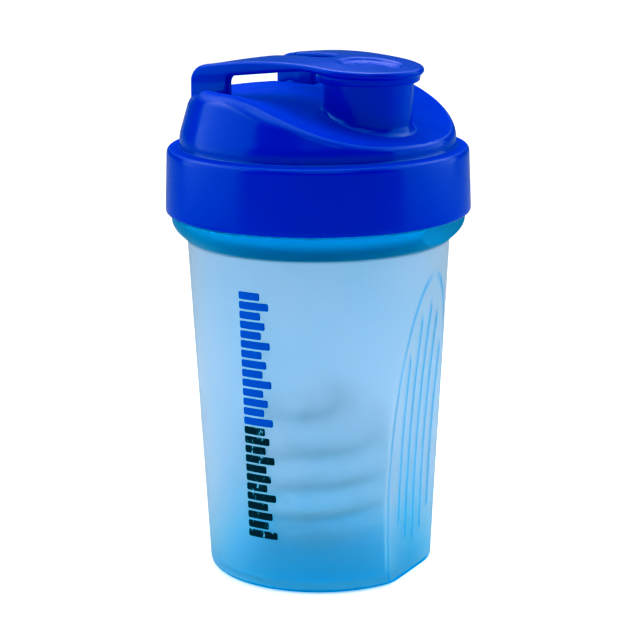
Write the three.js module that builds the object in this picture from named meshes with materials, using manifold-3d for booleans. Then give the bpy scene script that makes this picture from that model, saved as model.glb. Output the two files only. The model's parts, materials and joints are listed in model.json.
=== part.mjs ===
// Protein shaker bottle: a frosted cup with two grip facets, a screw lid with a drinking spout,
// a two-legged flip cap, a silicone sealing ring and a loose wire mixing ball.
// Millimetres, +Z up. The origin is the middle of the base and the spout is towards -Y.
import * as THREE from 'three';
import { mergeVertices } from 'three/addons/utils/BufferGeometryUtils.js';
import Module from 'manifold-3d';

// ---- driving dimensions -------------------------------------------------------------------
const CLEAR = 0.35; // running gap between neighbouring pieces

const BASE_RADIUS = 34.95; // cup wall radius where it would meet the ground
const WALL_SLOPE = 0.0537; // how far the wall flares per millimetre of height
const WALL = 1.8;
const FLOOR_TOP = 2.4;
const FOOT_RECESS = 0.6; // the middle of the base stands clear of the ground
const SHOULDER_HEIGHT = 104.5; // where the wall starts to flare out into the collar
const COLLAR_RADIUS = 45.2;
const COLLAR_TOP = 112.2;
const NECK_RADIUS = 41.5;
const RIM_HEIGHT = 129.2;

const FACET_TURNS = [13, 193]; // degrees round from the spout side to each grip facet
const FACET_DEPTH = 31.9; // distance of a facet from the axis at the base
const FACET_CURVE = 0.00089; // how quickly the facet runs out to the wall, per millimetre
const FACET_HEIGHT = 100;
const RIB_SPACING = 5;
const RIB_PROUD = 0.45;

const THREAD_PITCH = 5;
const THREAD_TURNS = 1.25;
const CUP_THREAD_START = 116.2;
const THREAD_DEPTH = 1.7;

const LID_BOTTOM = 112.8;
const BAND_RADIUS = 47;
const BAND_INNER = 44.2;
const CREASE_RADIUS = 42.3;
const CREASE_HEIGHT = 133;
const CONE_TOP_RADIUS = 36.6;
const CONE_TOP = 156; // the dome's cone would end here if nothing were scooped away
const LID_WALL = 2.2;
const LID_CEILING = 130.8;
const CREST = 151.8; // top of the two wings beside the cap
const BACK_DECK = 148;
const FRONT_LIP = 137.3;

const SPOUT_FORWARD = 20.2; // distance of the spout in front of the axis
const SPOUT_RADIUS = 12.9;
const SPOUT_FLARE = 0.8; // the spout is this much wider at its mouth
const SPOUT_BORE = 11.4;
const SPOUT_TOP = 155.7;

const PIVOT_BACK = 28; // distance of the cap's pivot behind the axis
const PIVOT_HEIGHT = 146;
const LEG_OUTER = 21.2; // from the middle plane to a leg's outside
const LEG_THICK = 3;
const LEG_FOOT = 6.2; // radius of a leg's round foot
const LEG_FRONT = 9.6; // how far a leg reaches in front of the pivot
const TRUNNION = 2;
const POCKET_FLOOR = 136.5;
const POCKET_FRONT = 17.6; // a pocket runs from here to the back of the dome
const BOSS_INNER = 13.5; // solid plastic beside each pocket starts here

const CAP_FRONT = 19.6; // the cap's round front: half-length, half-width and middle
const CAP_HALF_WIDTH = 18.6;
const CAP_MIDDLE = 17;
const CAP_THICK = 2;
const SLOT_HALF = 4.2;
const DIMPLE_RADIUS = 9.8;
const DIMPLE_DEPTH = 1.1;
const DIMPLE_FORWARD = 21;
const DIMPLE_TOP = 159.5;
const PLATE_SLOPE = 0.085;

const BALL_RADIUS = 25.3; // to the middle of the wire
const WIRE = 1.05;
const BALL_TURNS = 5;
const BALL_PLACE = [3.7, 3.3];

const ROUND = 64; // sides round the cup and the lid
const ROUND_INSIDE = 48;

const blueLid = new THREE.MeshStandardMaterial({ color: 0x0a2fd0, roughness: 0.32, metalness: 0 });
const blueCup = new THREE.MeshStandardMaterial({
  color: 0x7fbdea, roughness: 0.45, metalness: 0, transparent: true, opacity: 0.55,
});
const silicone = new THREE.MeshStandardMaterial({ color: 0xdfe6ea, roughness: 0.7, metalness: 0 });
const steel = new THREE.MeshStandardMaterial({ color: 0xb9bec4, roughness: 0.25, metalness: 1 });

// ---- solids -------------------------------------------------------------------------------
const wasm = await Module();
wasm.setup();

/** A three.js geometry as a closed solid with its faces pointing out. */
function solid(geometry) {
  const bare = geometry.clone();
  bare.deleteAttribute('normal');
  bare.deleteAttribute('uv');
  const merged = mergeVertices(bare, 1e-4);
  const points = merged.attributes.position.array;
  const corners = merged.index.array;
  const kept = [];
  let volume = 0;
  const [a, b, c] = [new THREE.Vector3(), new THREE.Vector3(), new THREE.Vector3()];
  for (let i = 0; i < corners.length; i += 3) {
    const [p, q, r] = [corners[i], corners[i + 1], corners[i + 2]];
    if (p === q || q === r || r === p) continue;
    kept.push(p, q, r);
    volume += a.fromArray(points, 3 * p).dot(b.fromArray(points, 3 * q).cross(c.fromArray(points, 3 * r)));
  }
  if (volume < 0) kept.reverse();
  const mesh = new wasm.Mesh({
    numProp: 3,
    vertProperties: new Float32Array(points),
    triVerts: new Uint32Array(kept),
  });
  return new wasm.Manifold(mesh);
}

/** A finished solid as a named mesh. */
function piece(name, body, material) {
  const { vertProperties, triVerts } = body.getMesh();
  const geometry = new THREE.BufferGeometry();
  geometry.setAttribute('position', new THREE.BufferAttribute(vertProperties, 3));
  geometry.setIndex(new THREE.BufferAttribute(triVerts, 1));
  geometry.computeVertexNormals();
  const mesh = new THREE.Mesh(geometry, material);
  mesh.name = name;
  return mesh;
}

/** Turns an outline of [radius, height] points about the Z axis. */
function revolve(outline, segments) {
  const points = outline.map(([radius, height]) => new THREE.Vector2(radius, height));
  return new THREE.LatheGeometry(points, segments).rotateX(Math.PI / 2);
}

/** A revolved outline that closes on itself, such as a ring or a tube. */
function revolveRing(outline, segments) {
  return revolve([...outline, outline[0]], segments);
}

/** Extrudes an outline of [forward, height] points across the bottle, from one X to another. */
function across(shape, from, to, curveSegments = 8) {
  const options = { depth: to - from, bevelEnabled: false, curveSegments };
  const place = new THREE.Matrix4().makeBasis(
    new THREE.Vector3(0, -1, 0),
    new THREE.Vector3(0, 0, 1),
    new THREE.Vector3(-1, 0, 0),
  );
  return new THREE.ExtrudeGeometry(shape, options).applyMatrix4(place).translate(to, 0, 0);
}

/** Extrudes a plan outline of [sideways, forward] points upwards, from one height to another. */
function upwards(shape, from, to, curveSegments = 12) {
  const options = { depth: to - from, bevelEnabled: false, curveSegments };
  return new THREE.ExtrudeGeometry(shape, options).rotateZ(Math.PI).translate(0, 0, from);
}

function polygon(points) {
  return new THREE.Shape(points.map(([x, y]) => new THREE.Vector2(x, y)));
}

function rod(radius, x0, x1, segments = 20) {
  const geometry = new THREE.CylinderGeometry(radius, radius, x1 - x0, segments);
  return geometry.rotateZ(Math.PI / 2).translate((x0 + x1) / 2, 0, 0);
}

/** A screw thread: a straight ridged bar wrapped up a helix, fading out at both ends. */
function thread(root, crest, start, turns) {
  const halfRoot = 1.15;
  const halfCrest = 0.45;
  const profile = polygon([
    [0, -halfRoot],
    [1, -halfCrest],
    [1, halfCrest],
    [0, halfRoot],
  ]);
  const steps = Math.round(turns * 32);
  const length = turns * 2 * Math.PI;
  const bar = new THREE.ExtrudeGeometry(profile, { depth: length, steps, bevelEnabled: false });
  const place = bar.attributes.position;
  const fadeAngle = 0.35;
  for (let i = 0; i < place.count; i += 1) {
    const angle = place.getZ(i);
    const fade = Math.min(1, 0.2 + 0.8 * (Math.min(angle, length - angle) / fadeAngle));
    const radius = root + (crest - root) * place.getX(i) * fade;
    const height = start + place.getY(i) + (THREAD_PITCH * angle) / (2 * Math.PI);
    place.setXYZ(i, radius * Math.cos(angle), radius * Math.sin(angle), height);
  }
  return bar;
}

// ---- cup ----------------------------------------------------------------------------------
function wallRadius(height) {
  return BASE_RADIUS + WALL_SLOPE * height;
}

function cupOutside() {
  const collarCurve = [
    [wallRadius(SHOULDER_HEIGHT) + 0.2, SHOULDER_HEIGHT],
    [41.9, 105.8],
    [43.3, 107],
    [44.4, 108.3],
    [COLLAR_RADIUS, 109.7],
    [COLLAR_RADIUS, COLLAR_TOP - 0.4],
    [COLLAR_RADIUS - 0.4, COLLAR_TOP],
  ];
  return revolve([
    [0, FOOT_RECESS],
    [30.4, FOOT_RECESS],
    [31, 0],
    [33.9, 0],
    [34.7, 0.45],
    [wallRadius(1.4), 1.4],
    ...collarCurve,
    [NECK_RADIUS, COLLAR_TOP],
    [NECK_RADIUS, RIM_HEIGHT - 0.3],
    [NECK_RADIUS - 0.3, RIM_HEIGHT],
    [0, RIM_HEIGHT],
  ], ROUND);
}

function cupInside() {
  const inner = (height) => wallRadius(height) - WALL;
  return revolve([
    [0, FLOOR_TOP],
    [31, FLOOR_TOP],
    [inner(4) - 0.6, FLOOR_TOP + 0.7],
    [inner(4.6), 4.6],
    [inner(105), 105],
    [39.7, 113],
    [39.7, RIM_HEIGHT + 1],
    [0, RIM_HEIGHT + 1],
  ], ROUND_INSIDE);
}

/** Everything beyond one grip facet, set in by some thickness. */
function beyondFacet(inset, turn) {
  const outline = [[60, -2]];
  outline.push([60, FACET_HEIGHT]);
  for (let height = FACET_HEIGHT; height >= -2; height -= 6) {
    outline.push([FACET_DEPTH - inset + FACET_CURVE * height * height, height]);
  }
  return across(polygon(outline), -30, 30).rotateZ(THREE.MathUtils.degToRad(turn));
}

/** One upright rib on a facet, running out at its top. */
function facetRib(sideways, turn) {
  const bottom = 9 + 0.08 * sideways * sideways;
  const top = 90 - 0.15 * sideways * sideways;
  const face = (height) => FACET_DEPTH + FACET_CURVE * height * height;
  const outer = [];
  const inner = [];
  const steps = 7;
  for (let i = 0; i <= steps; i += 1) {
    const height = bottom + ((top - bottom) * i) / steps;
    const proud = i === 0 || i === steps ? -0.1 : RIB_PROUD;
    outer.push([face(height) + proud, height]);
    inner.unshift([face(height) - 0.9, height]);
  }
  const rib = across(polygon([...outer, ...inner]), sideways - 0.5, sideways + 0.5);
  return rib.rotateZ(THREE.MathUtils.degToRad(turn));
}

function buildCup() {
  let outside = solid(cupOutside());
  let inside = solid(cupInside());
  for (const turn of FACET_TURNS) {
    outside = outside.subtract(solid(beyondFacet(0, turn)));
    inside = inside.subtract(solid(beyondFacet(WALL, turn)));
    for (let k = -2; k <= 2; k += 1) {
      outside = outside.add(solid(facetRib(k * RIB_SPACING, turn)));
    }
  }
  const ridge = thread(NECK_RADIUS - 0.3, NECK_RADIUS + THREAD_DEPTH, CUP_THREAD_START, THREAD_TURNS);
  return outside.add(solid(ridge)).subtract(inside);
}

// ---- lid ----------------------------------------------------------------------------------
function smooth(from, to, value) {
  return THREE.MathUtils.smoothstep(value, from, to);
}

/** Height of the scoop's edge, by the distance in front of the axis. */
function edgeHeight(forward) {
  if (forward < -12) return BACK_DECK + (CREST - BACK_DECK) * smooth(-31, -17, forward);
  return CREST - (CREST - FRONT_LIP) * smooth(-5, 44.5, forward);
}

/** Height of the scooped deck: low along the middle, rising to a wing at each side. */
function deckHeight(sideways, forward) {
  const middle = BACK_DECK - (BACK_DECK - FRONT_LIP) * smooth(-6, 44, forward);
  const halfChord = Math.sqrt(Math.max(9, 1600 - forward * forward));
  const wing = smooth(0.45, 0.98, Math.abs(sideways) / halfChord);
  return middle + (edgeHeight(forward) - middle) * wing;
}

/** The lower of two heights, with a round of some size where they cross. */
function softLower(a, b, size) {
  const mix = THREE.MathUtils.clamp(0.5 + (0.5 * (b - a)) / size, 0, 1);
  return b + (a - b) * mix - size * mix * (1 - mix);
}

/** Presses a revolved dome down onto the scooped deck. */
function scoop(geometry, drop, size) {
  const place = geometry.attributes.position;
  for (let i = 0; i < place.count; i += 1) {
    const height = place.getZ(i);
    if (height > CREASE_HEIGHT + 0.5) {
      const deck = deckHeight(place.getX(i), -place.getY(i)) - drop;
      place.setZ(i, softLower(height, deck, size));
    }
  }
  return geometry;
}

function coneRadius(height) {
  const share = (height - 136.9) / (CONE_TOP - 136.9);
  return 42.2 + (CONE_TOP_RADIUS - 42.2) * share;
}

function lidOutside() {
  const coneHeights = [138.5, 140.2, 142, 144, 146, 148, 150, 152, CONE_TOP];
  return scoop(revolve([
    [0, LID_BOTTOM],
    [45.9, LID_BOTTOM],
    [46.8, 113.5],
    [BAND_RADIUS, 114.3],
    [46.4, 130.2],
    [46, 131.5],
    [45.1, 132.4],
    [43.9, 132.8],
    [CREASE_RADIUS, CREASE_HEIGHT],
    [42.2, 136.9],
    ...coneHeights.map((height) => [coneRadius(height), height]),
    ...[34.5, 31, 26, 18].map((radius) => [radius, CONE_TOP]),
    [0, CONE_TOP],
  ], ROUND), 0, 2.4);
}

/** The hollow under the lid, open at the bottom. */
function lidInside() {
  const coneHeights = [139, 143, 147, CONE_TOP];
  return scoop(revolve([
    [0, LID_BOTTOM - 1],
    [BAND_INNER + 0.6, LID_BOTTOM - 1],
    [BAND_INNER, LID_BOTTOM + 0.8],
    [BAND_INNER, LID_CEILING],
    [39.6, LID_CEILING],
    [39.6, 135],
    ...coneHeights.map((height) => [coneRadius(height) - LID_WALL, height]),
    ...[28, 16].map((radius) => [radius, CONE_TOP]),
    [0, CONE_TOP],
  ], ROUND_INSIDE), LID_WALL, 2);
}

function spoutTube() {
  const outer = (height) => SPOUT_RADIUS + (SPOUT_FLARE * (height - 136)) / (SPOUT_TOP - 136);
  const ring = revolveRing([
    [SPOUT_BORE, 136],
    [outer(136), 136],
    [outer(SPOUT_TOP - 0.8), SPOUT_TOP - 0.8],
    [outer(SPOUT_TOP) - 0.3, SPOUT_TOP - 0.2],
    [outer(SPOUT_TOP) - 0.9, SPOUT_TOP],
    [SPOUT_BORE + 0.3, SPOUT_TOP],
    [SPOUT_BORE, SPOUT_TOP - 0.3],
  ], 48);
  return ring.translate(0, -SPOUT_FORWARD, 0);
}

function spoutBore() {
  const bore = new THREE.CylinderGeometry(SPOUT_BORE, SPOUT_BORE, 30, 48);
  return bore.rotateX(Math.PI / 2).translate(0, -SPOUT_FORWARD, 146);
}

/** A block beside the middle plane, wide enough to hold one leg with some room round it. */
function pocketBlock(side, innerSide, room, floor) {
  const outline = polygon([
    [-60, floor],
    [-POCKET_FRONT + room, floor],
    [-POCKET_FRONT + room, CONE_TOP + 2],
    [-60, CONE_TOP + 2],
  ]);
  const outerSide = LEG_OUTER + CLEAR + room;
  return side > 0 ? across(outline, innerSide, outerSide) : across(outline, -outerSide, -innerSide);
}

function trunnion(side, radius, inner, outer) {
  const pin = side > 0 ? rod(radius, inner, outer) : rod(radius, -outer, -inner);
  return pin.translate(0, PIVOT_BACK, PIVOT_HEIGHT);
}

function buildLid() {
  let inside = solid(lidInside());
  let body = solid(lidOutside()).add(solid(spoutTube()));
  const legInner = LEG_OUTER - LEG_THICK;
  for (const side of [-1, 1]) {
    inside = inside.subtract(solid(pocketBlock(side, BOSS_INNER, 2, POCKET_FLOOR - 2)));
  }
  body = body.subtract(inside).subtract(solid(spoutBore()));
  for (const side of [-1, 1]) {
    body = body.subtract(solid(pocketBlock(side, legInner - CLEAR, 0, POCKET_FLOOR)));
    body = body.subtract(solid(trunnion(side, TRUNNION + CLEAR, legInner - 3.4, legInner)));
  }
  const start = CUP_THREAD_START + THREAD_PITCH / 2;
  const ridge = thread(BAND_INNER + 0.3, BAND_INNER - THREAD_DEPTH, start, THREAD_TURNS);
  return body.add(solid(ridge));
}

function buildGasket() {
  return solid(revolveRing([
    [39.9, LID_CEILING - 1.25],
    [43.7, LID_CEILING - 1.25],
    [43.8, LID_CEILING - CLEAR],
    [39.8, LID_CEILING - CLEAR],
  ], ROUND));
}

// ---- flip cap -----------------------------------------------------------------------------
/** Top line of the cap seen from the side, from the tip of the front to the back of a leg. */
const CAP_TOP_LINE = [
  [37.5, 157.9],
  [30, 158.7],
  [20, 159.6],
  [10, 160.4],
  [0, 160.6],
  [-10, 160.2],
  [-20, 159.1],
  [-26.5, 158.1],
  [-30.4, 156.8],
  [-33, 154.9],
  [-34.2, 152.4],
];

/** The underside, from the back of the arch beside a leg to the front. */
const CAP_UNDER_LINE = [
  [-18.4, 151.8],
  [-17.2, 153.6],
  [-14.5, 154.8],
  [-8, 156.1],
  [0, 157.2],
  [8, 158.2],
  [10, 160.4 - CAP_THICK],
  [20, 159.6 - CAP_THICK],
  [30, 158.7 - CAP_THICK],
  [37.5, 157.9 - CAP_THICK],
];

/** The cap seen from the side. A leg's foot is round behind the pivot and reaches further in front of it. */
function capSide() {
  const outline = [...CAP_TOP_LINE];
  for (let k = 0; k <= 8; k += 1) {
    const angle = Math.PI + (Math.PI * k) / 8;
    const reach = k > 4 ? LEG_FRONT : LEG_FOOT;
    const forward = -PIVOT_BACK + reach * Math.cos(angle);
    outline.push([forward, PIVOT_HEIGHT + LEG_FOOT * Math.sin(angle)]);
  }
  outline.push(...CAP_UNDER_LINE);
  return across(polygon(outline), -LEG_OUTER, LEG_OUTER);
}

/** The cap's outline from above: a round front, and sides that spread towards the legs. */
function capPlan() {
  const shape = new THREE.Shape();
  shape.moveTo(-LEG_OUTER, -40);
  shape.lineTo(-LEG_OUTER, -24);
  shape.bezierCurveTo(-LEG_OUTER, -10, -CAP_HALF_WIDTH, -4, -CAP_HALF_WIDTH, CAP_MIDDLE);
  shape.absellipse(0, CAP_MIDDLE, CAP_HALF_WIDTH, CAP_FRONT, Math.PI, 0, true, 0);
  shape.bezierCurveTo(CAP_HALF_WIDTH, -4, LEG_OUTER, -10, LEG_OUTER, -24);
  shape.lineTo(LEG_OUTER, -40);
  shape.closePath();
  return upwards(shape, 130, 170, 16);
}

/** The opening between the arms: a long slot with a wide mouth towards the legs. */
function capNotch() {
  const inner = LEG_OUTER - LEG_THICK;
  const shape = new THREE.Shape();
  shape.moveTo(-inner, -45);
  shape.lineTo(-inner, -27.5);
  shape.bezierCurveTo(-inner, -23, -12.5, -20.5, -8, -17.5);
  shape.bezierCurveTo(-5.5, -16, -SLOT_HALF, -14, -SLOT_HALF, -11);
  shape.lineTo(-SLOT_HALF, 2.5);
  shape.absarc(0, 2.5, SLOT_HALF, Math.PI, 0, true);
  shape.lineTo(SLOT_HALF, -11);
  shape.bezierCurveTo(SLOT_HALF, -14, 5.5, -16, 8, -17.5);
  shape.bezierCurveTo(12.5, -20.5, inner, -23, inner, -27.5);
  shape.lineTo(inner, -45);
  shape.closePath();
  return upwards(shape, 130, 170, 6);
}

/** Room between the legs, under the plate. */
function betweenLegs() {
  const inner = LEG_OUTER - LEG_THICK;
  const outline = polygon([
    [-45, 130],
    [-8, 130],
    [-8, 156.1],
    [-17, 157.1],
    [-45, 157.1],
  ]);
  return across(outline, -inner, inner);
}

/** The skirt round the spout and the plug inside it. */
function capSeal() {
  const skirt = revolveRing([
    [SPOUT_RADIUS + SPOUT_FLARE + CLEAR + 0.1, 153.9],
    [15, 153.9],
    [15.6, 155.4],
    [15.6, 157.6],
    [SPOUT_RADIUS + SPOUT_FLARE + CLEAR + 0.1, 157.6],
  ], 48).translate(0, -SPOUT_FORWARD, 0);
  const plug = revolveRing([
    [9.3, 149.6],
    [10.7, 149.6],
    [SPOUT_BORE - CLEAR, 150.6],
    [SPOUT_BORE - CLEAR, 157.8],
    [9.3, 157.8],
  ], 40).translate(0, -SPOUT_FORWARD, 0);
  return solid(skirt).add(solid(plug));
}

/** A shallow round dish in the plate, above the spout, square to the plate's slope. */
function capDimple() {
  const height = DIMPLE_DEPTH * 4;
  const dish = new THREE.CylinderGeometry(DIMPLE_RADIUS + 2, DIMPLE_RADIUS - 1.4, height, 36);
  dish.rotateX(Math.PI / 2 + Math.atan(PLATE_SLOPE));
  return dish.translate(0, -DIMPLE_FORWARD, DIMPLE_TOP - DIMPLE_DEPTH + height / 2);
}

function buildCap() {
  let body = solid(capSide()).intersect(solid(capPlan()));
  body = body.subtract(solid(capNotch())).subtract(solid(betweenLegs()));
  const legInner = LEG_OUTER - LEG_THICK;
  for (const side of [-1, 1]) {
    body = body.add(solid(trunnion(side, TRUNNION, legInner - 3, legInner + 0.5)));
  }
  return body.subtract(solid(capDimple())).add(capSeal());
}

// ---- mixing ball --------------------------------------------------------------------------
/** A wire wound on a sphere, with an even rise from turn to turn. */
class BallSpiral extends THREE.Curve {
  getPoint(share, target = new THREE.Vector3()) {
    const height = BALL_RADIUS * 0.985 * (2 * share - 1);
    const radius = Math.sqrt(BALL_RADIUS ** 2 - height ** 2);
    const angle = share * BALL_TURNS * 2 * Math.PI;
    return target.set(radius * Math.cos(angle), radius * Math.sin(angle), height);
  }
}

function buildBall() {
  const sides = 6;
  const wire = new THREE.Shape();
  for (let k = 0; k < sides; k += 1) {
    const angle = (2 * Math.PI * k) / sides;
    const [x, y] = [WIRE * Math.cos(angle), WIRE * Math.sin(angle)];
    if (k === 0) wire.moveTo(x, y);
    else wire.lineTo(x, y);
  }
  wire.closePath();
  const steps = BALL_TURNS * 22;
  const spiral = new THREE.ExtrudeGeometry(wire, { steps, bevelEnabled: false, extrudePath: new BallSpiral() });
  const middle = FLOOR_TOP + 0.3 + WIRE + BALL_RADIUS * 0.985;
  return solid(spiral.translate(BALL_PLACE[0], BALL_PLACE[1], middle));
}

// ---- assembly -----------------------------------------------------------------------------
const shaker = new THREE.Group();
shaker.add(piece('cup', buildCup(), blueCup));
shaker.add(piece('lid', buildLid(), blueLid));
shaker.add(piece('lid_gasket', buildGasket(), silicone));
shaker.add(piece('flip_cap', buildCap(), blueLid));
shaker.add(piece('mixing_ball', buildBall(), steel));

export default shaker;
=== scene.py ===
"""Looks of the protein shaker bottle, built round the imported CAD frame.

Lengths are millimetres until a mesh is made; Blender gets metres. The bottle's axis is Z, the drinking
spout is towards -Y and "forward" means distance towards the spout.
"""

import json
import math

import bmesh
import bpy
import numpy as np
from mathutils import Matrix, Vector


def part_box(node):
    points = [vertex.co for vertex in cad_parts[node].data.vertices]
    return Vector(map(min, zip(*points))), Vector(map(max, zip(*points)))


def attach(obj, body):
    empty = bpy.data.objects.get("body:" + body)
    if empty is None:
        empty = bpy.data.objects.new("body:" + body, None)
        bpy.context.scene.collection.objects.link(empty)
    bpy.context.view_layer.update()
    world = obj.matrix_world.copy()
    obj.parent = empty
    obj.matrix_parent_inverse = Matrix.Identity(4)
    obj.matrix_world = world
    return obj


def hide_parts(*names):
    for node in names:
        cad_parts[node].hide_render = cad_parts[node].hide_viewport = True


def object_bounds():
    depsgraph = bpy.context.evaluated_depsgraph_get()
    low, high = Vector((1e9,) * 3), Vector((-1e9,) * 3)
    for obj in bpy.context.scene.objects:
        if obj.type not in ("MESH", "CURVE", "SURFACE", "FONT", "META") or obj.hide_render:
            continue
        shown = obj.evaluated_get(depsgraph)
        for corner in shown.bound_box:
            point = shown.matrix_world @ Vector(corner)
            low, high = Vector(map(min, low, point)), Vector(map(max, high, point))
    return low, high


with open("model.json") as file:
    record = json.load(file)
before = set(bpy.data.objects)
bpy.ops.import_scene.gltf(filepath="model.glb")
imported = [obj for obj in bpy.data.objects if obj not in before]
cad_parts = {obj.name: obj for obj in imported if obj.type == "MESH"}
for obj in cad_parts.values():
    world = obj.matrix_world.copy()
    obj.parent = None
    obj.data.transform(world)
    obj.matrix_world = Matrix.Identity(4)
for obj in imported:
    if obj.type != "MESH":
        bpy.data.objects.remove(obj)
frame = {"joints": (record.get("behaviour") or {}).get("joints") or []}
cad_low, cad_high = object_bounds()

MM = 0.001


# ---- sizes from the frame --------------------------------------------------------------------
def corners(node):
    """Lowest and highest corner of a CAD node, in millimetres."""
    low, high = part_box(node)
    return np.array(low) / MM, np.array(high) / MM


def joint(name):
    return next(j for j in frame["joints"] if j["name"] == name)


cup_high = corners("cup")[1]
lid_low, lid_high = corners("lid")
cap_low, cap_high = corners("flip_cap")
ball_low, ball_high = corners("mixing_ball")
seal_low, seal_high = corners("lid_gasket")

RIM_HEIGHT = cup_high[2]
COLLAR_RADIUS = cup_high[0]
COLLAR_TOP = lid_low[2] - 0.6
BAND_RADIUS = lid_high[0] - 0.02  # a hair inside the CAD model's box
LID_BOTTOM = lid_low[2]
SPOUT_TOP = lid_high[2]
LEG_OUTER = cap_high[0]
PIVOT_BACK, PIVOT_HEIGHT = np.array(joint("cap_hinge")["pos_m"])[1:] / MM

# cup
BASE_RADIUS = 34.95  # the wall's radius where it would meet the ground
WALL_SLOPE = 0.0537  # how far the wall flares per millimetre of height
WALL = 1.8
FLOOR_TOP = 2.4
FOOT_RECESS = 0.6
FOOT_INNER = 30.2  # where the recess under the base ends and the foot ring starts
SHOULDER_HEIGHT = 104.5  # where the wall starts to flare out into the collar
NECK_RADIUS = COLLAR_RADIUS - 3.7
NECK_INNER = NECK_RADIUS - WALL
FACET_TURNS = (13, 193)  # degrees round from the spout's side to each grip facet
FACET_DEPTH = 31.9  # distance of a facet from the axis at the base
FACET_CURVE = 0.00089  # how quickly the facet runs out to the wall
FACET_REACH = 17  # half of the width of the band of close columns across a facet
FACET_COLUMNS = 171
WALL_COLUMNS = 80  # columns of the wall between two facets
RIB_SPACING = 5
RIB_PROUD = 0.6
RIB_HALF_WIDTH = 0.45
EDGE_GROOVE = 0.13
EDGE_HALF_WIDTH = 0.16

# thread
THREAD_PITCH = 5
THREAD_TURNS = 1.25
THREAD_START = 116.2
THREAD_DEPTH = 1.7
THREAD_FADE = 0.35  # angle in radians over which each end of the thread runs out

# lid; the dome is a cone from its foot to its head, as (radius, height), with the deck scooped out of it
CLEAR = 0.35  # running gap between neighbouring pieces
BAND_INNER = BAND_RADIUS - 2.8
BAND_FOOT = 114.3  # the band leans in from here to its head
BAND_HEAD = 130.2
BAND_LEAN = 0.6
CREASE_HEIGHT = 133
CONE_FOOT = (42.2, 136.9)
CONE_HEAD = (36.6, 156)
LID_WALL = 2.2
LID_CEILING = RIM_HEIGHT + 1.6
DOME_INNER = 39.6
CREST = 151.8  # top of the two wings beside the cap
BACK_DECK = 148
FRONT_LIP = 137.3
DECK_REACH = 40  # radius at which the wings are full
SPOUT_FORWARD = 20.2  # distance of the spout in front of the axis
SPOUT_FOOT = 136
SPOUT_RADIUS = 12.9
SPOUT_FLARE = 0.8
SPOUT_BORE = 11.4
POCKET_FLOOR = 136.5
POCKET_FRONT = 17.6
POCKET_WALL = 2

# flip cap; its top is a front slope and a back slope, as (height at the axis, slope)
FRONT_SLOPE = (161.25, 0.09)
BACK_SLOPE = (161.75, 0.14)
CROWN = 0.0016  # how quickly the top falls away sideways
CAP_HALF_WIDTH = 18.6
CAP_FRONT = 19.6
CAP_MIDDLE = 17
CAP_THICK = 2
ARM_BACK = -24  # the sides have spread to the legs by here
SLOT_HALF = 4.2
SLOT_FRONT = 2.5
DIMPLE_FORWARD = 21
DIMPLE_DEPTH = 1.05
DIMPLE_EDGE = (8.0, 10.2)  # radii of its flat bottom and of its outer edge
LEG_THICK = 3
LEG_INNER = LEG_OUTER - LEG_THICK
LEG_FOOT = 6.2  # radius of a leg's round foot
LEG_FRONT = 9.6  # how far a leg reaches in front of the pivot
PIN_RADIUS = 2
SKIRT_OUTER = 15.6
SKIRT_INNER = 14.15
SKIRT_LOW = 153.9
SKIRT_HIGH = 157.4
PLUG_INNER = 9.3
PLUG_LOW = 149.6
PLUG_HIGH = 157.6

# mixing ball
WIRE = 1.05
BALL_TURNS = 5
BALL_POLE = 0.985  # the wire ends short of the poles, at this share of the radius

# camera, in degrees and metres
VIEW_AZIMUTH = -48.5
VIEW_PITCH = 13.65
VIEW_ROLL = -0.39
VIEW_DISTANCE = 0.65
VIEW_HEIGHT = 0.2353
LENS = 120.43  # in millimetres, as Blender has it
LENS_SHIFT = 0.0014


# ---- shapes ----------------------------------------------------------------------------------
def smooth(low, high, value):
    """0 before low, 1 after high and an even S between."""
    t = np.clip((value - low) / (high - low), 0, 1)
    return t * t * (3 - 2 * t)


def blend_low(a, b, size):
    """The lower of two values, rounded over a size where they cross."""
    h = np.maximum(size - np.abs(a - b), 0) / size
    return np.minimum(a, b) - h * h * size / 4


def blend_high(a, b, size):
    """The higher of two values, rounded over a size where they cross."""
    return -blend_low(-a, -b, size)


def add_mesh(name, points, faces, ridge=None):
    """A smooth-shaded mesh object from points in millimetres and an array of four-cornered faces.

    ridge is an optional share, from 0 to 1, of deeper colour at each point.
    """
    mesh = bpy.data.meshes.new(name)
    mesh.vertices.add(len(points))
    mesh.vertices.foreach_set("co", (np.asarray(points) * MM).astype(np.float32).ravel())
    mesh.loops.add(faces.size)
    mesh.loops.foreach_set("vertex_index", faces.astype(np.int32).ravel())
    mesh.polygons.add(len(faces))
    mesh.polygons.foreach_set("loop_start", np.arange(0, faces.size, 4, dtype=np.int32))
    mesh.polygons.foreach_set("loop_total", np.full(len(faces), 4, dtype=np.int32))
    if ridge is not None:
        share = mesh.attributes.new("ridge", "FLOAT", "POINT")
        share.data.foreach_set("value", ridge.astype(np.float32))
    mesh.update(calc_edges=True)
    tidy = bmesh.new()
    tidy.from_mesh(mesh)
    bmesh.ops.remove_doubles(tidy, verts=tidy.verts, dist=1e-7)
    bmesh.ops.recalc_face_normals(tidy, faces=tidy.faces)
    tidy.to_mesh(mesh)
    tidy.free()
    mesh.shade_smooth()
    piece = bpy.data.objects.new(name, mesh)
    bpy.context.scene.collection.objects.link(piece)
    return piece


def grid_faces(rows, columns, rows_close=False):
    """Faces of a grid of points whose columns close on themselves."""
    last = rows if rows_close else rows - 1
    r, c = np.meshgrid(np.arange(last), np.arange(columns), indexing="ij")
    r, c = r.ravel(), c.ravel()
    up, right = (r + 1) % rows, (c + 1) % columns
    return np.stack([r * columns + c, r * columns + right, up * columns + right, up * columns + c], 1)


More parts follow.
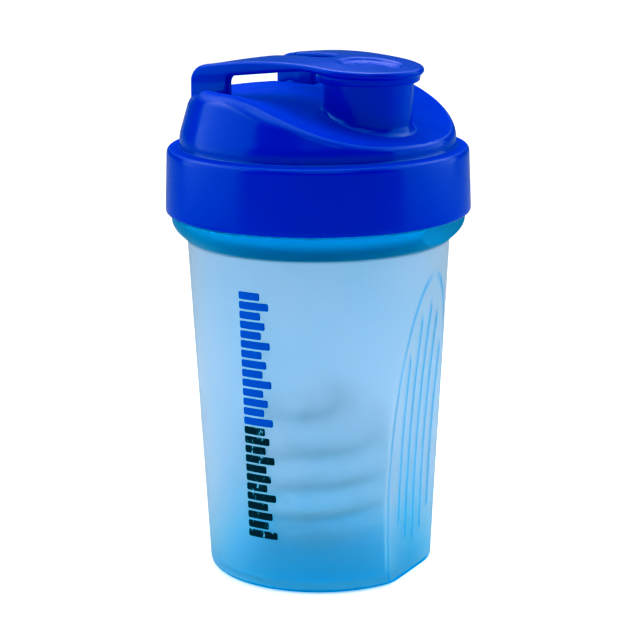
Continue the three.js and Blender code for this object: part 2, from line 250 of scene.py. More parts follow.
def revolved(name, outline, sides):
    """A closed outline of (radius, height) points turned about the bottle's axis."""
    outline = np.asarray(outline, float)
    angle = np.linspace(0, 2 * math.pi, sides, endpoint=False)
    radius, height = outline[:, :1], outline[:, 1:]
    points = np.stack([radius * np.cos(angle), radius * np.sin(angle), height + 0 * angle], -1)
    return add_mesh(name, points.reshape(-1, 3), grid_faces(len(outline), sides, True))


CUBE = [(i, j, k) for i in (0, 1) for j in (0, 1) for k in (0, 1)]
CUBE_EDGES = [(a, b) for a in range(8) for b in range(a + 1, 8)
              if sum(p != q for p, q in zip(CUBE[a], CUBE[b])) == 1]


def field_mesh(name, field, low, high, step):
    """The closed surface where field(x, y, z) crosses zero; the field is negative inside the solid.

    One point is made in every grid cell that the surface passes through, at the middle of its crossings,
    and is then pulled onto the surface along the field's slope.
    """
    axes = [np.arange(a, b + step, step) for a, b in zip(low, high)]
    x, y, z = np.meshgrid(*axes, indexing="ij", sparse=True)
    value = np.asarray(field(x, y, z), np.float32)
    inside = value < 0
    nx, ny, nz = value.shape

    def corner(block, i, j, k):
        return block[i:nx - 1 + i, j:ny - 1 + j, k:nz - 1 + k]

    count = sum(corner(inside, *c).astype(np.int8) for c in CUBE)
    cells = np.argwhere((count > 0) & (count < 8))
    number = np.full((nx - 1, ny - 1, nz - 1), -1, np.int32)
    number[tuple(cells.T)] = np.arange(len(cells))

    levels = np.stack([corner(value, *c)[tuple(cells.T)] for c in CUBE], 1)
    total = np.zeros((len(cells), 3))
    crossings = np.zeros(len(cells))
    for a, b in CUBE_EDGES:
        crosses = (levels[:, a] < 0) != (levels[:, b] < 0)
        gap = np.where(crosses, levels[:, a] - levels[:, b], 1)
        share = np.where(crosses, levels[:, a] / gap, 0)[:, None]
        place = np.array(CUBE[a]) + share * (np.array(CUBE[b]) - np.array(CUBE[a]))
        total += np.where(crosses[:, None], place, 0)
        crossings += crosses
    points = np.array(low) + step * (cells + total / crossings[:, None])

    home = points.copy()
    reach = 0.02
    for _ in range(4):
        level = field(*points.T)
        slope = np.stack([(field(*(points + reach * d).T) - field(*(points - reach * d).T)) / (2 * reach)
                          for d in np.eye(3)], 1)
        steep = np.maximum((slope ** 2).sum(1), 0.05)
        points = points - (level / steep)[:, None] * slope
        points = np.clip(points, home - 0.9 * step, home + 0.9 * step)

    faces = []
    for axis in range(3):
        others = [a for a in range(3) if a != axis]
        span = [slice(None)] * 3
        span[axis] = slice(0, -1)
        ahead = [slice(None)] * 3
        ahead[axis] = slice(1, None)
        crossing = np.argwhere(inside[tuple(span)] != inside[tuple(ahead)])
        room = np.array(value.shape)[others] - 1
        crossing = crossing[((crossing[:, others] > 0) & (crossing[:, others] < room)).all(1)]
        ring = []
        for da, db in ((1, 1), (0, 1), (0, 0), (1, 0)):
            cell = crossing.copy()
            cell[:, others[0]] -= da
            cell[:, others[1]] -= db
            ring.append(number[tuple(cell.T)])
        quad = np.stack(ring, 1)
        faces.append(quad[(quad >= 0).all(1)])
    return add_mesh(name, points, np.concatenate(faces))


# ---- cup -------------------------------------------------------------------------------------
def wall_radius(height):
    return BASE_RADIUS + WALL_SLOPE * height


def arc(centre, radius, start, end, steps):
    """Points of (radius, height) round a centre, from one angle in degrees to another."""
    angle = np.radians(np.linspace(start, end, steps))
    return np.stack([centre[0] + radius * np.cos(angle), centre[1] + radius * np.sin(angle)], 1)


def line(start, end, steps):
    return np.linspace(start, end, steps + 1)[:-1]


def bezier(a, b, c, d, steps):
    t = np.linspace(0, 1, steps, endpoint=False)[:, None]
    a, b, c, d = (np.array(p, float) for p in (a, b, c, d))
    return (1 - t) ** 3 * a + 3 * t * (1 - t) ** 2 * b + 3 * t * t * (1 - t) * c + t ** 3 * d


def thread_share(angle, height, start):
    """How far the thread stands out, from 0 to 1, at angles and heights on a cylinder."""
    length = THREAD_TURNS * 2 * math.pi
    rise = THREAD_PITCH / (2 * math.pi)
    turn = np.round(((height - start) / rise - angle) / (2 * math.pi))
    along = angle + 2 * math.pi * turn
    off = np.abs(height - start - rise * along)
    fade = np.clip(np.minimum(along, length - along) / THREAD_FADE, 0, 1)
    return fade * (1 - smooth(0.45, 1.15, off))


def facet_columns():
    """Sideways places of the columns across a facet, close together so that the ribs are crisp."""
    return np.linspace(-FACET_REACH, FACET_REACH, FACET_COLUMNS)


def cup_profile():
    """(radius, height, inset) of each ring of the cup, from under the base to the floor inside."""
    wall_top = (wall_radius(SHOULDER_HEIGHT), SHOULDER_HEIGHT)
    outside = np.concatenate([
        line((0.001, FOOT_RECESS), (FOOT_INNER, FOOT_RECESS), 12),
        bezier((FOOT_INNER, FOOT_RECESS), (30.6, FOOT_RECESS), (30.5, 0), (31, 0), 6),
        line((31, 0), (33.3, 0), 3),
        bezier((33.3, 0), (34.4, 0), (34.85, 0.5), (wall_radius(1.7), 1.7), 8),
        line((wall_radius(1.7), 1.7), wall_top, 150),
        bezier(wall_top, (42.3, 106.1), (44.9, 107.8), (COLLAR_RADIUS, 110.6), 14),
        line((COLLAR_RADIUS, 110.6), (COLLAR_RADIUS, COLLAR_TOP - 0.6), 2),
        arc((COLLAR_RADIUS - 0.5, COLLAR_TOP - 0.5), 0.5, 0, 90, 6),
        line((COLLAR_RADIUS - 0.8, COLLAR_TOP), (NECK_RADIUS + 0.5, COLLAR_TOP), 3),
        arc((NECK_RADIUS + 0.4, COLLAR_TOP + 0.4), 0.4, 270, 180, 4),
        line((NECK_RADIUS, COLLAR_TOP + 0.8), (NECK_RADIUS, RIM_HEIGHT - 0.6), 44),
        arc((NECK_RADIUS - 0.5, RIM_HEIGHT - 0.5), 0.5, 0, 90, 5),
        arc((NECK_INNER + 0.5, RIM_HEIGHT - 0.5), 0.5, 90, 180, 5),
    ])
    inner = [wall_radius(h) - WALL for h in (105, 6)]
    inside = np.concatenate([
        line((NECK_INNER, RIM_HEIGHT - 1), (NECK_INNER, 113), 8),
        line((NECK_INNER, 113), (inner[0], 105), 8),
        line((inner[0], 105), (inner[1], 6), 90),
        bezier((inner[1], 6), (inner[1] - 0.2, 3.4), (32.3, FLOOR_TOP), (29.5, FLOOR_TOP), 10),
        line((29.5, FLOOR_TOP), (0.001, FLOOR_TOP), 12),
        [(0.001, FLOOR_TOP)],
    ])
    rings = [(*p, 0.0) for p in outside] + [(*p, WALL) for p in inside]
    return np.array(rings)


def rib_share(sideways, height):
    """1 on the crests of a facet's ribs, 0 between them and at their ends."""
    share = 0
    for k in range(-2, 3):
        place = k * RIB_SPACING
        bottom = 9 + 0.08 * place ** 2
        top = 90 - 0.15 * place ** 2
        ends = smooth(bottom, bottom + 3, height) * (1 - smooth(top - 5, top, height))
        share = share + ends * np.exp(-((sideways - place) / RIB_HALF_WIDTH) ** 4)
    return share


def cup_ring(radius, height, inset):
    """The points of one ring, in order round the bottle, and each point's share of darker colour, which
    is partly painted shade.
    """
    across = facet_columns() * min(1, radius / BASE_RADIUS)
    circle = np.sqrt(radius ** 2 - across ** 2)
    depth = FACET_DEPTH - inset + FACET_CURVE * height ** 2
    out = blend_low(circle, np.full_like(circle, depth), 0.35)
    ridge = np.zeros_like(circle)
    if inset == 0 and radius > FACET_DEPTH and height < SHOULDER_HEIGHT:
        cut = np.clip((circle - depth) / 0.3, 0, 1)
        ribs = rib_share(across, height) * cut
        edge = np.exp(-((circle - depth) / EDGE_HALF_WIDTH) ** 2) * np.clip(np.abs(across) / 5, 0, 1)
        out = out + RIB_PROUD * ribs - EDGE_GROOVE * edge
        # share of darker colour: on the ribs partly their thicker plastic and partly painted shade, in
        # the groove along the facet's edge painted shade
        ridge = np.maximum(ribs, edge)
    start = math.asin(across[-1] / radius)
    ring = []
    deeper = []
    arc_angles = np.linspace(start, math.pi - start, WALL_COLUMNS + 2)[1:-1]
    for turn in FACET_TURNS:
        turned = math.radians(turn - 90)
        x = np.concatenate([across, radius * np.sin(arc_angles)])
        y = np.concatenate([out, radius * np.cos(arc_angles)])
        if COLLAR_TOP + 0.8 <= height <= RIM_HEIGHT - 0.6 and inset == 0:
            angle = np.arctan2(-x, y) + turned
            grown = THREAD_DEPTH * thread_share(np.mod(angle, 2 * math.pi), height, THREAD_START)
            x, y = x * (1 + grown / radius), y * (1 + grown / radius)
        ring.append(np.stack([
            y * math.cos(turned) + x * math.sin(turned),
            y * math.sin(turned) - x * math.cos(turned),
            np.full_like(x, height),
        ], 1))
        deeper.append(np.concatenate([ridge, np.zeros_like(arc_angles)]))
    return np.concatenate(ring), np.concatenate(deeper)


def build_cup():
    """The cup; light passes through its frosted wall, so it casts no shadow."""
    rings, ridges = zip(*(cup_ring(*row) for row in cup_profile()))
    faces = grid_faces(len(rings), len(rings[0]))
    cup = add_mesh("cup_shell", np.concatenate(rings), faces, np.concatenate(ridges))
    cup.visible_shadow = False
    return cup


# ---- print on the cup ------------------------------------------------------------------------
GAUGE_AZIMUTH = -77.8
GAUGE_WIDTH = 10
GAUGE_LOW = 16.8
GAUGE_HIGH = 95
GAUGE_BARS = 26
GAUGE_INK = 0.76  # the share of each bar's place that has ink
DARK_BARS = 12
INK_LIFT = 0.02
INK_THICK = 0.06
INK_CORNER = 0.35


def ink_bar(left, right, low, high):
    """A thin bar of ink on the cup's wall, with sideways limits in millimetres and rounded corners."""
    rows, columns = 7, 15
    v = np.linspace(-1, 1, rows)[:, None]
    u = np.linspace(-1, 1, columns)[None, :]
    half = (right - left) / 2 - INK_CORNER * (1 - np.sqrt(1 - 0.96 * v ** 8))
    s = (left + right) / 2 + half * u
    z = (low + high) / 2 + (high - low) / 2 * v + 0 * u
    middle = math.radians(GAUGE_AZIMUTH - 90)
    sheets = []
    for depth in (INK_LIFT, INK_LIFT + INK_THICK):
        radius = wall_radius(z) + depth
        angle = middle + s / wall_radius(z)
        sheets.append(np.stack([radius * np.cos(angle), radius * np.sin(angle), z], -1).reshape(-1, 3))
    size = rows * columns
    grid = np.arange(size).reshape(rows, columns)
    face = np.stack([grid[:-1, :-1], grid[:-1, 1:], grid[1:, 1:], grid[1:, :-1]], -1).reshape(-1, 4)
    rim = np.concatenate([grid[0, :-1], grid[:-1, -1], grid[-1, :0:-1], grid[:0:-1, 0]])
    after = np.roll(rim, -1)
    edge = np.stack([rim, after, after + size, rim + size], 1)
    return np.concatenate(sheets), np.concatenate([face[:, ::-1], face + size, edge])


def build_gauge():
    """A plain graduated gauge: every fourth bar is long, and the one between is middling."""
    points = []
    faces = []
    pitch = (GAUGE_HIGH - GAUGE_LOW) / GAUGE_BARS
    count = 0
    for k in range(GAUGE_BARS):
        reach = {0: 1, 2: 0.86}.get(k % 4, 0.72)
        low = GAUGE_LOW + k * pitch
        bar, quads = ink_bar(-GAUGE_WIDTH / 2, GAUGE_WIDTH * (reach - 0.5), low, low + GAUGE_INK * pitch)
        points.append(bar)
        faces.append(quads + count)
        count += len(bar)
    return add_mesh("gauge_print", np.concatenate(points), np.concatenate(faces))


# ---- lid -------------------------------------------------------------------------------------
def edge_height(forward):
    """Height of the scoop's edge, by the distance in front of the axis."""
    back = BACK_DECK + (CREST - BACK_DECK) * smooth(-31, -17, forward)
    front = CREST - (CREST - FRONT_LIP) * smooth(-5, 44.5, forward)
    return np.where(forward < -12, back, front)


def deck_height(x, forward):
    """Height of the scooped deck: low along the middle, rising to a wing at each side."""
    middle = BACK_DECK - (BACK_DECK - FRONT_LIP) * smooth(-6, 44, forward)
    half_chord = np.sqrt(np.maximum(9, DECK_REACH ** 2 - forward ** 2))
    wing = smooth(0.45, 0.98, np.abs(x) / half_chord)
    return middle + (edge_height(forward) - middle) * wing


def cone_radius(height):
    share = (height - CONE_FOOT[1]) / (CONE_HEAD[1] - CONE_FOOT[1])
    return CONE_FOOT[0] + blend_low((CONE_HEAD[0] - CONE_FOOT[0]) * share, 0.1 - 0.1 * share, 0.4)


def spout_distance(x, y):
    return np.sqrt(x ** 2 + (y + SPOUT_FORWARD) ** 2)


def leg_pocket(x, y, z, room, floor):
    """The space round the two legs; grown by some room for the plastic beside it."""
    inner = LEG_INNER - CLEAR
    outer = LEG_OUTER + CLEAR
    sides = np.maximum(np.abs(x) - outer - room, inner - room - np.abs(x))
    front = POCKET_FRONT - room - y
    return blend_high(blend_high(sides, front, 0.8), floor - z, 0.8)


def lid_field(x, y, z):
    """Band, scooped dome and spout, less the threaded hollow, the spout's bore and the pockets."""
    forward = -y
    radius = np.sqrt(x ** 2 + y ** 2)
    band_side = BAND_RADIUS - BAND_LEAN * (z - BAND_FOOT) / (BAND_HEAD - BAND_FOOT)
    band = blend_high(radius - band_side, z - CREASE_HEIGHT + 0.05, 1.9)
    band = blend_high(band, LID_BOTTOM - z, 1.3)
    deck = deck_height(x, forward)
    side = 0.96 * (radius - cone_radius(z))
    top = 0.94 * (z - deck)
    bevel = 2.6 * smooth(28, 6, forward) * smooth(-36, -22, forward)
    dome = blend_high(side, top, 1.3)
    dome = blend_high(dome, (side + top + bevel) / math.sqrt(2), 0.9)
    outside = blend_low(band, dome, 0.7)
    flare = SPOUT_FLARE * (z - SPOUT_FOOT) / (SPOUT_TOP - SPOUT_FOOT)
    from_spout = spout_distance(x, y)
    spout = blend_high(from_spout - SPOUT_RADIUS - flare, z - SPOUT_TOP, 1.2)
    outside = blend_low(outside, spout, 2.6)
    hollow = np.maximum(radius - BAND_INNER, z - LID_CEILING)
    angle = np.mod(np.arctan2(y, x), 2 * math.pi)
    ridge = THREAD_DEPTH * thread_share(angle, z, THREAD_START + THREAD_PITCH / 2)
    hollow = np.maximum(hollow, radius - BAND_INNER + ridge)
    inner_dome = blend_high(radius - cone_radius(z) + LID_WALL, z - deck + LID_WALL, 2)
    inner_dome = np.maximum(inner_dome, radius - DOME_INNER)
    hollow = np.minimum(hollow, inner_dome)
    hollow = np.maximum(hollow, -leg_pocket(x, y, z, POCKET_WALL, POCKET_FLOOR - POCKET_WALL))
    body = blend_high(outside, -hollow, 0.5)
    body = blend_high(body, SPOUT_BORE - from_spout, 0.7)
    return blend_high(body, -leg_pocket(x, y, z, 0, POCKET_FLOOR), 0.8)


def build_lid(step):
    return field_mesh("lid_shell", lid_field, lid_low - 1, lid_high + 1, step)


def build_seal():
    """A flat ring with round edges."""
    middle = (seal_low[2] + seal_high[2]) / 2
    half_height = (seal_high[2] - seal_low[2]) / 2
    outer = seal_high[0]
    inner = outer - 4
    angle = np.linspace(0, 2 * math.pi, 28, endpoint=False)
    across = np.sign(np.cos(angle)) * np.abs(np.cos(angle)) ** 0.35
    up = np.sign(np.sin(angle)) * np.abs(np.sin(angle)) ** 0.6
    radius = (outer + inner) / 2 + (outer - inner) / 2 * across
    return revolved("seal_ring", np.stack([radius, middle + half_height * up], 1), 160)


# ---- flip cap --------------------------------------------------------------------------------
def cap_top(x, forward):
    """Height of the cap's top: two slopes meeting in a hump, crowned across, with a round dimple."""
    front = FRONT_SLOPE[0] - FRONT_SLOPE[1] * forward
    back = BACK_SLOPE[0] + BACK_SLOPE[1] * forward
    top = blend_low(front, back, 4.6) - CROWN * x ** 2
    from_dimple = np.sqrt(x ** 2 + (forward - DIMPLE_FORWARD) ** 2)
    return top - DIMPLE_DEPTH * (1 - smooth(*DIMPLE_EDGE, from_dimple))


def cap_under(x, forward):
    """Height of the plate's underside: the arms are deeper towards the legs, and hollow between them."""
    lean = 0.5 * (10 - forward + np.sqrt((10 - forward) ** 2 + 9))
    deep = FRONT_SLOPE[0] - FRONT_SLOPE[1] * forward - CROWN * x ** 2 - CAP_THICK - 0.21 * lean
    hollow = 156.2 + 1.0 * smooth(-8, -17, forward)
    between = smooth(LEG_INNER + 0.3, LEG_INNER - 0.3, np.abs(x))
    between = between * smooth(-7.5, -8.5, forward)
    return deep + np.maximum(hollow - deep, 0) * between


def cap_plan(x, forward):
    """Distance outside the cap's outline seen from above."""
    width = CAP_HALF_WIDTH + (LEG_OUTER - CAP_HALF_WIDTH) * smooth(CAP_MIDDLE, ARM_BACK, forward)
    sides = np.abs(x) - width
    reach = np.sqrt((x / CAP_HALF_WIDTH) ** 2 + (np.maximum(forward - CAP_MIDDLE, 0) / CAP_FRONT) ** 2)
    nose = (reach - 1) * CAP_HALF_WIDTH
    return np.where(forward > CAP_MIDDLE, nose, sides)


def cap_notch(x, forward):
    """Distance inside the opening between the arms, which widens from a slot to the legs."""
    wide = SLOT_HALF + (LEG_INNER - SLOT_HALF) * smooth(-12, -26.5, forward)
    slope = 1 + 0.9 * smooth(-13, -17, forward) * smooth(-26, -22, forward)
    sides = (wide - np.abs(x)) / slope
    end = SLOT_HALF - np.sqrt(x ** 2 + np.maximum(forward - SLOT_FRONT, 0) ** 2)
    return np.where(forward > SLOT_FRONT, end, sides)


def cap_legs(x, forward, z):
    """The two legs seen from the side, with round feet about the pivot, and their two faces."""
    sides = np.maximum(np.abs(x) - LEG_OUTER, LEG_INNER - np.abs(x))
    along = forward + PIVOT_BACK
    upper = np.maximum(-LEG_FOOT - along, along - LEG_FRONT)
    reach = np.where(along > 0, LEG_FRONT, LEG_FOOT)
    foot = (np.sqrt((along / reach) ** 2 + ((z - PIVOT_HEIGHT) / LEG_FOOT) ** 2) - 1) * LEG_FOOT
    shape = np.where(z > PIVOT_HEIGHT, upper, foot)
    return shape, sides


def cap_field(x, y, z):
    """Plate, arms and legs, with the skirt round the spout, the plug in it and the hinge pins."""
    forward = -y
    top = z - cap_top(x, forward)
    under = cap_under(x, forward) - z
    plan = cap_plan(x, forward)
    notch = cap_notch(x, forward)
    back = -(PIVOT_BACK + LEG_FOOT) - forward
    arms = blend_high(under, back, 1)
    shape, sides = cap_legs(x, forward, z)
    slab = blend_low(arms, blend_high(shape, sides, 0.8), 2.2)
    upper = blend_high(top, back, 6.5)
    body = blend_high(slab, upper, 1.0)
    body = blend_high(body, plan, 1.3)
    body = blend_high(body, notch, 1.1)
    body = blend_high(body, np.where(forward < -27, LEG_INNER - np.abs(x), -9), 0.7)
    from_spout = spout_distance(x, y)
    taper = 0.2 * np.clip(z - SKIRT_LOW - 1.5, -1.5, 0)
    skirt_side = np.maximum(from_spout - SKIRT_OUTER - taper, SKIRT_INNER - from_spout)
    skirt = blend_high(blend_high(skirt_side, SKIRT_LOW - z, 0.7), z - SKIRT_HIGH, 0.5)
    body = blend_low(body, skirt, 0.9)
    plug_side = np.maximum(from_spout - SPOUT_BORE + CLEAR, PLUG_INNER - from_spout)
    plug = blend_high(blend_high(plug_side, PLUG_LOW - z, 1.2), z - PLUG_HIGH, 0.5)
    body = blend_low(body, plug, 0.6)
    pin = np.sqrt((forward + PIVOT_BACK) ** 2 + (z - PIVOT_HEIGHT) ** 2) - PIN_RADIUS
    pins = blend_high(pin, np.maximum(LEG_INNER - 3 - np.abs(x), np.abs(x) - LEG_INNER - 1), 0.6)
    return blend_low(body, pins, 0.5)


def build_cap(step):
    """The flip cap; it casts no shadow, so that the deck and spout under it keep their deep blue."""
    cap = field_mesh("flip_cap_body", cap_field, cap_low - 1, cap_high + 1, step)
    cap.visible_shadow = False
    return cap


# ---- mixing ball -----------------------------------------------------------------------------
def build_ball():
    """A round wire wound on a sphere, with rounded ends."""
    ball = (ball_high[2] - ball_low[2]) / 2 / BALL_POLE - WIRE
    steps = 900
    sides = 14
    share = np.linspace(0, 1, steps)
    height = BALL_POLE * ball * (2 * share - 1)
    radius = np.sqrt(ball ** 2 - height ** 2)
    angle = share * BALL_TURNS * 2 * math.pi
    path = np.stack([radius * np.cos(angle), radius * np.sin(angle), height], 1)
    ahead = np.gradient(path, axis=0)
    ahead /= np.linalg.norm(ahead, axis=1)[:, None]
    outward = path / np.linalg.norm(path, axis=1)[:, None]
    aside = np.cross(ahead, outward)
    aside /= np.linalg.norm(aside, axis=1)[:, None]
    outward = np.cross(aside, ahead)
    round_angle = np.linspace(0, 2 * math.pi, sides, endpoint=False)
    rings = []
    for k in range(steps):
        from_end = min(k, steps - 1 - k)
        thick = WIRE * math.sqrt(max(1e-6, 1 - max(0, 1 - (from_end + 0.02) / 6) ** 2))
        offset = np.outer(np.cos(round_angle), outward[k]) + np.outer(np.sin(round_angle), aside[k])
        rings.append(path[k] + thick * offset)
    middle = (ball_low + ball_high) / 2
    piece = add_mesh("wire_ball", np.concatenate(rings) + middle, grid_faces(steps, sides))
    ends = bmesh.new()
    ends.from_mesh(piece.data)
    bmesh.ops.holes_fill(ends, edges=[e for e in ends.edges if e.is_boundary], sides=0)
    ends.to_mesh(piece.data)
    ends.free()
    return piece


# ---- materials -------------------------------------------------------------------------------
class Nodes:
    """A material's node tree, with short calls to add and join nodes."""

    def __init__(self, name, **values):
        self.material = bpy.data.materials.new(name)
        self.material.use_nodes = True
        self.tree = self.material.node_tree
        self.tree.nodes.clear()
        self.shader = self.add("ShaderNodeBsdfPrincipled")
        self.set(self.shader, **values)
        output = self.add("ShaderNodeOutputMaterial")
        self.tree.links.new(self.shader.outputs[0], output.inputs["Surface"])

    def add(self, kind, **settings):
        node = self.tree.nodes.new(kind)
        for key, value in settings.items():
            setattr(node, key, value)
        return node

    def set(self, node, **values):
        for key, value in values.items():
            node.inputs[key.replace("_", " ")].default_value = value

    def join(self, source, node, socket):
        self.tree.links.new(source, node.inputs[socket])

    def place(self, scale=(1, 1, 1)):
        """Object coordinates, stretched by a scale."""
        coordinates = self.add("ShaderNodeTexCoord")
        mapping = self.add("ShaderNodeMapping")
        mapping.inputs["Scale"].default_value = scale
        self.join(coordinates.outputs["Object"], mapping, "Vector")
        return mapping.outputs["Vector"]

    def noise(self, scale, detail=3.0, roughness=0.5, stretch=(1, 1, 1)):
        node = self.add("ShaderNodeTexNoise")
        self.set(node, Scale=scale, Detail=detail, Roughness=roughness)
        self.join(self.place(stretch), node, "Vector")
        return node.outputs["Fac"]

    def remap(self, source, low, high, to_low, to_high, kind="SMOOTHSTEP"):
        node = self.add("ShaderNodeMapRange", interpolation_type=kind)
        for socket, value in enumerate((low, high, to_low, to_high), 1):
            node.inputs[socket].default_value = value
        self.join(source, node, 0)
        return node.outputs[0]

    def mix(self, factor, a, b):
        """Two colours mixed; each is a colour or another node's output."""
        node = self.add("ShaderNodeMix", data_type="RGBA")
        self.join(factor, node, "Factor")
        for socket, value in ((6, a), (7, b)):
            if isinstance(value, tuple):
                node.inputs[socket].default_value = (*value, 1)
            else:
                self.tree.links.new(value, node.inputs[socket])
        return node.outputs[2]

    def height(self):
        """Height in metres above the ground at rest."""
        split = self.add("ShaderNodeSeparateXYZ")
        self.join(self.place(), split, "Vector")
        return split.outputs["Z"]

    def radius(self):
        """Distance in metres from the bottle's axis at rest."""
        length = self.add("ShaderNodeVectorMath", operation="LENGTH")
        self.join(self.place((1, 1, 0)), length, 0)
        return length.outputs["Value"]

    def upward(self):
        """1 on faces that look up at rest, 0 on walls."""
        coordinates = self.add("ShaderNodeTexCoord")
        split = self.add("ShaderNodeSeparateXYZ")
        self.join(coordinates.outputs["Normal"], split, "Vector")
        return self.remap(split.outputs["Z"], 0.75, 0.93, 0, 1)

    def bump(self, layers):
        """A bump from (height output, strength, depth in metres) layers, laid on each other."""
        below = None
        for source, strength, distance in layers:
            node = self.add("ShaderNodeBump")
            self.set(node, Strength=strength, Distance=distance)
            self.join(source, node, "Height")
            if below is not None:
                self.join(below, node, "Normal")
            below = node.outputs["Normal"]
        self.join(below, self.shader, "Normal")


def lid_plastic(name, gloss, top_satin):
    """Opaque blue plastic; top_satin is how much rougher its upward faces are."""
    nodes = Nodes(name, IOR=1.49, Specular_IOR_Level=gloss)
    cloud = nodes.remap(nodes.noise(30, 2), 0.2, 0.8, 0, 1)
    colour = nodes.mix(cloud, (0.0, 0.002, 0.43), (0.0, 0.004, 0.48))
    nodes.join(colour, nodes.shader, "Base Color")
    worn = nodes.remap(nodes.noise(210, 5, 0.6), 0.3, 0.75, 0.15, 0.24)
    satin = nodes.add("ShaderNodeMath", operation="MULTIPLY_ADD")
    nodes.join(nodes.upward(), satin, 0)
    satin.inputs[1].default_value = top_satin
    nodes.join(worn, satin, 2)
    nodes.join(satin.outputs[0], nodes.shader, "Roughness")
    grain = nodes.noise(900, 2)
    rings = nodes.noise(40, 2, 0.5, (1, 1, 5))
    nodes.bump([(grain, 0.05, 0.00006), (rings, 0.04, 0.0003)])
    return nodes.material


def cup_plastic():
    """Frosted plastic: pale, deeper towards the base and on the floor, deep blue along the foot and on
    the collar; darker on the ribs, partly for their thicker plastic and partly as painted shade, and
    painted shade in the groove round each facet.
    """
    nodes = Nodes("cup_plastic", IOR=1.45, Specular_IOR_Level=0.12, Transmission_Weight=0.85)
    height = nodes.height()
    cloud = nodes.remap(nodes.noise(30, 2), 0.35, 0.65, 0, 1)
    pale = nodes.mix(cloud, (0.50, 0.69, 0.85), (0.54, 0.71, 0.86))
    low = nodes.remap(height, 0.0, 0.034, 1, 0)
    colour = nodes.mix(low, pale, (0.32, 0.65, 0.84))
    base = nodes.remap(nodes.radius(), 0.0305, 0.0325, 1, 0)
    colour = nodes.mix(base, colour, (0.03, 0.56, 0.83))
    foot = nodes.remap(height, 0.0006, 0.0014, 1, 0)
    colour = nodes.mix(foot, colour, (0.0, 0.36, 0.82))
    high = nodes.remap(height, 0.1043, 0.1056, 0, 1)
    colour = nodes.mix(high, colour, (0.0, 0.41, 0.82))
    # painted shade: the ribs and the groove round each facet are coloured darker, on the ribs partly for
    # their thicker plastic
    ridge = nodes.add("ShaderNodeAttribute", attribute_name="ridge")
    colour = nodes.mix(ridge.outputs["Fac"], colour, (0.06, 0.46, 0.88))
    nodes.join(colour, nodes.shader, "Base Color")
    frost = nodes.remap(nodes.noise(260, 4, 0.6), 0.3, 0.7, 0.30, 0.37)
    nodes.join(frost, nodes.shader, "Roughness")
    grain = nodes.noise(1400, 2)
    draw = nodes.noise(60, 2, 0.5, (1, 1, 0.3))
    nodes.bump([(grain, 0.05, 0.00006), (draw, 0.10, 0.0006)])
    return nodes.material


def gauge_ink():
    """Royal blue ink above and near-black ink below, where it is rubbed through to the cup."""
    nodes = Nodes("gauge_ink", IOR=1.45, Specular_IOR_Level=0.2)
    middle = (GAUGE_LOW + (GAUGE_HIGH - GAUGE_LOW) * DARK_BARS / GAUGE_BARS - 0.5) * MM
    upper = nodes.remap(nodes.height(), middle - 0.0002, middle + 0.0002, 0, 1)
    worn = nodes.remap(nodes.noise(420, 6, 0.7, (1, 1, 0.6)), 0.585, 0.615, 0, 1)
    dark = nodes.mix(worn, (0.006, 0.012, 0.03), (0.20, 0.44, 0.68))
    speck = nodes.remap(nodes.noise(900, 3, 0.6), 0.66, 0.70, 0, 1)
    bright = nodes.mix(speck, (0.004, 0.075, 0.54), (0.02, 0.14, 0.62))
    nodes.join(nodes.mix(upper, dark, bright), nodes.shader, "Base Color")
    nodes.join(nodes.remap(nodes.noise(600, 3), 0.3, 0.7, 0.35, 0.55), nodes.shader, "Roughness")
    nodes.bump([(nodes.noise(1500, 3), 0.2, 0.00004)])
    return nodes.material


def silicone():
    nodes = Nodes("silicone", IOR=1.41, Subsurface_Weight=0.25, Subsurface_Scale=0.002)
    tone = nodes.mix(nodes.noise(120, 3), (0.74, 0.79, 0.82), (0.86, 0.89, 0.91))
    nodes.join(tone, nodes.shader, "Base Color")
    nodes.join(nodes.remap(nodes.noise(500, 3), 0.3, 0.7, 0.45, 0.62), nodes.shader, "Roughness")
    nodes.bump([(nodes.noise(1300, 2), 0.15, 0.00005)])
    return nodes.material


def steel():
    nodes = Nodes("steel", Metallic=1.0)
    tone = nodes.mix(nodes.noise(700, 4, 0.6, (0.3, 0.3, 1)), (0.44, 0.45, 0.47), (0.66, 0.67, 0.69))
    nodes.join(tone, nodes.shader, "Base Color")
    nodes.join(nodes.remap(nodes.noise(900, 4), 0.3, 0.7, 0.22, 0.38), nodes.shader, "Roughness")
    nodes.bump([(nodes.noise(2200, 3, 0.6, (0.2, 0.2, 1)), 0.2, 0.00003)])
    return nodes.material


# ---- assembly --------------------------------------------------------------------------------
def finish_piece(piece, body, material, slot, *stands_for):
    piece.data.materials.append(material)
    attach(piece, body)
    if stands_for:
        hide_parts(*stands_for)


coarse = 1
finish_piece(build_cup(), "cup", cup_plastic(), "cup_plastic", "cup")
finish_piece(build_gauge(), "cup", gauge_ink(), "lid_plastic")
finish_piece(build_lid(0.5 * coarse), "lid", lid_plastic("lid_plastic", 0.4, 0.7), "lid_plastic", "lid")
cap = build_cap(0.3 * coarse)
finish_piece(cap, "cap", lid_plastic("cap_plastic", 0.3, 0), "lid_plastic", "flip_cap")
finish_piece(build_seal(), "seal", silicone(), "silicone", "lid_gasket")
finish_piece(build_ball(), "ball", steel(), "wire", "mixing_ball")


# ---- studio ----------------------------------------------------------------------------------
BACK_GLOW = 1.7  # strength of the world's light on the far side of the bottle from the camera
FRONT_GLOW = 0.3  # and on the camera's side
HORIZON = 0.11  # share of that strength near the horizon

